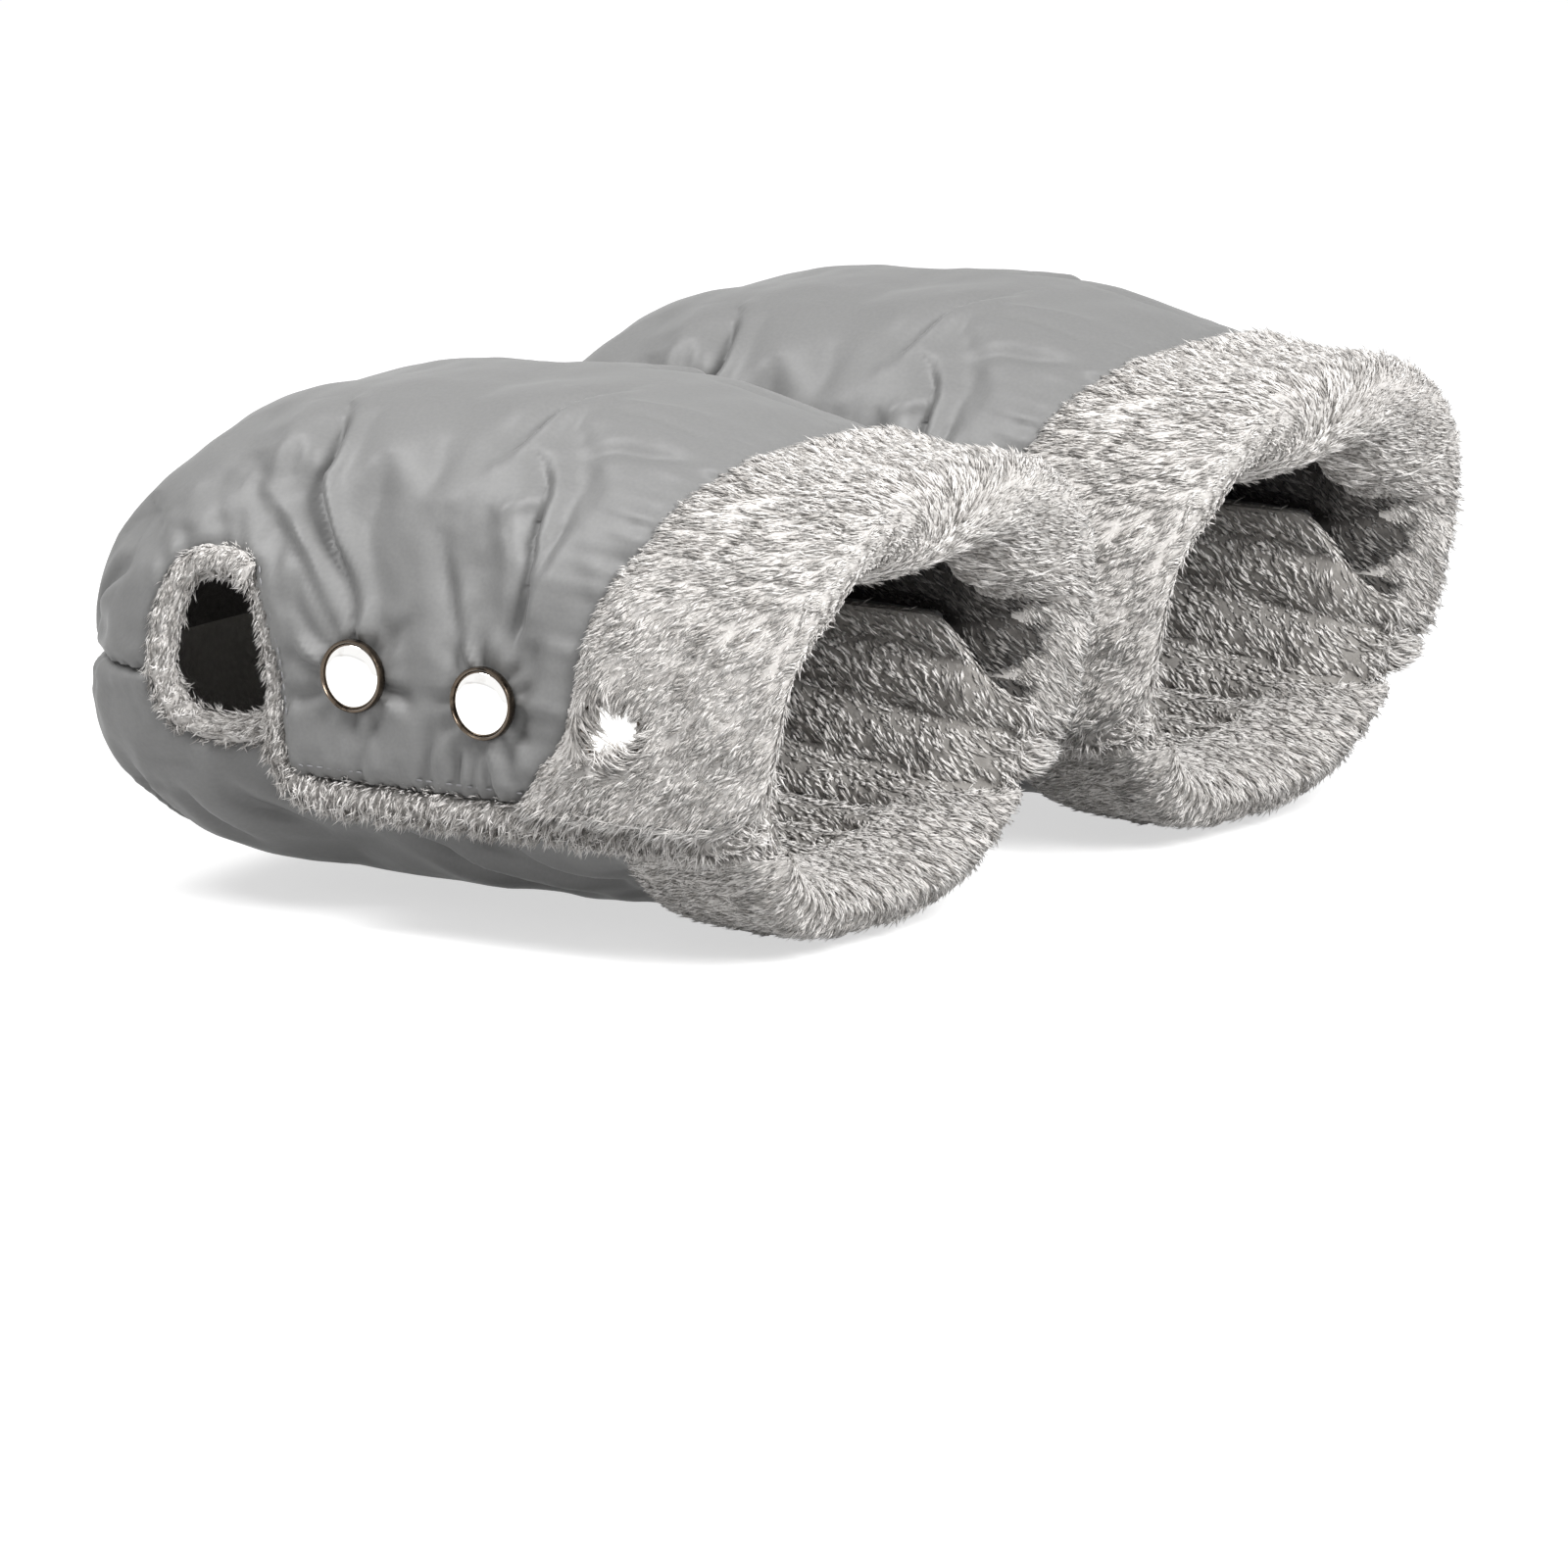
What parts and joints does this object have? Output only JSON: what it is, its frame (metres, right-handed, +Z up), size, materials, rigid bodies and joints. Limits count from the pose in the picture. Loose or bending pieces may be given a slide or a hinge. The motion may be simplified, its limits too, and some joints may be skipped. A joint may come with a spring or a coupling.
{
  "type": "stroller hand muff",
  "caption": "Pair of padded, plush-lined hand muffs with snap-closed side flaps, hung side by side on a stroller's handlebar.",
  "frame": {"origin": "on the handlebar's axis, midway between the two muffs", "axes": "+X from the closed nose to the open mouth, +Y along the handlebar, +Z up"},
  "size_m": [0.252, 0.348, 0.1404],
  "materials": {
    "shell": "satin woven shell",
    "padding": "soft filling",
    "plush": "long-pile plush",
    "snap": "mirror nickel"
  },
  "bodies": {
    "left_muff": {"left_upper_shell": "shell", "left_upper_padding": "padding", "left_upper_lining": "plush", "left_upper_cuff": "plush", "left_lower_shell": "shell", "left_lower_padding": "padding", "left_lower_lining": "plush", "left_lower_cuff": "plush", "left_near_stud_1": "snap", "left_near_stud_2": "snap", "left_near_stud_3": "snap", "left_far_stud_1": "snap", "left_far_stud_2": "snap", "left_far_stud_3": "snap"},
    "left_near_flap": {"left_near_flap_shell": "shell", "left_near_flap_padding": "padding", "left_near_flap_lining": "plush", "left_near_flap_cuff": "plush", "left_near_flap_strip": "plush", "left_near_flap_cap_1": "snap", "left_near_flap_cap_2": "snap", "left_near_flap_cap_3": "snap"},
    "left_far_flap": {"left_far_flap_shell": "shell", "left_far_flap_padding": "padding", "left_far_flap_lining": "plush", "left_far_flap_cuff": "plush", "left_far_flap_strip": "plush", "left_far_flap_cap_1": "snap", "left_far_flap_cap_2": "snap", "left_far_flap_cap_3": "snap"},
    "right_muff": {"right_upper_shell": "shell", "right_upper_padding": "padding", "right_upper_lining": "plush", "right_upper_cuff": "plush", "right_lower_shell": "shell", "right_lower_padding": "padding", "right_lower_lining": "plush", "right_lower_cuff": "plush", "right_near_stud_1": "snap", "right_near_stud_2": "snap", "right_near_stud_3": "snap", "right_far_stud_1": "snap", "right_far_stud_2": "snap", "right_far_stud_3": "snap"},
    "right_near_flap": {"right_near_flap_shell": "shell", "right_near_flap_padding": "padding", "right_near_flap_lining": "plush", "right_near_flap_cuff": "plush", "right_near_flap_strip": "plush", "right_near_flap_cap_1": "snap", "right_near_flap_cap_2": "snap", "right_near_flap_cap_3": "snap"},
    "right_far_flap": {"right_far_flap_shell": "shell", "right_far_flap_padding": "padding", "right_far_flap_lining": "plush", "right_far_flap_cuff": "plush", "right_far_flap_strip": "plush", "right_far_flap_cap_1": "snap", "right_far_flap_cap_2": "snap", "right_far_flap_cap_3": "snap"}
  },
  "joints": [
    {"name": "left_near_flap_hinge", "type": "hinge", "parent": "left_muff", "child": "left_near_flap", "pos_m": [0.1, -0.1684, 0.038], "axis": [-1, 0, 0], "range_deg": [0, 80]},
    {"name": "left_far_flap_hinge", "type": "hinge", "parent": "left_muff", "child": "left_far_flap", "pos_m": [0.1, -0.0176, 0.038], "axis": [1, 0, 0], "range_deg": [0, 10]},
    {"name": "right_near_flap_hinge", "type": "hinge", "parent": "right_muff", "child": "right_near_flap", "pos_m": [0.1, 0.0176, 0.038], "axis": [-1, 0, 0], "range_deg": [0, 10]},
    {"name": "right_far_flap_hinge", "type": "hinge", "parent": "right_muff", "child": "right_far_flap", "pos_m": [0.1, 0.1684, 0.038], "axis": [1, 0, 0], "range_deg": [0, 80]},
    {"name": "right_muff_slide", "type": "slide", "parent": "left_muff", "child": "right_muff", "axis": [0, 1, 0], "range_m": [0, 0.12]}
  ]
}
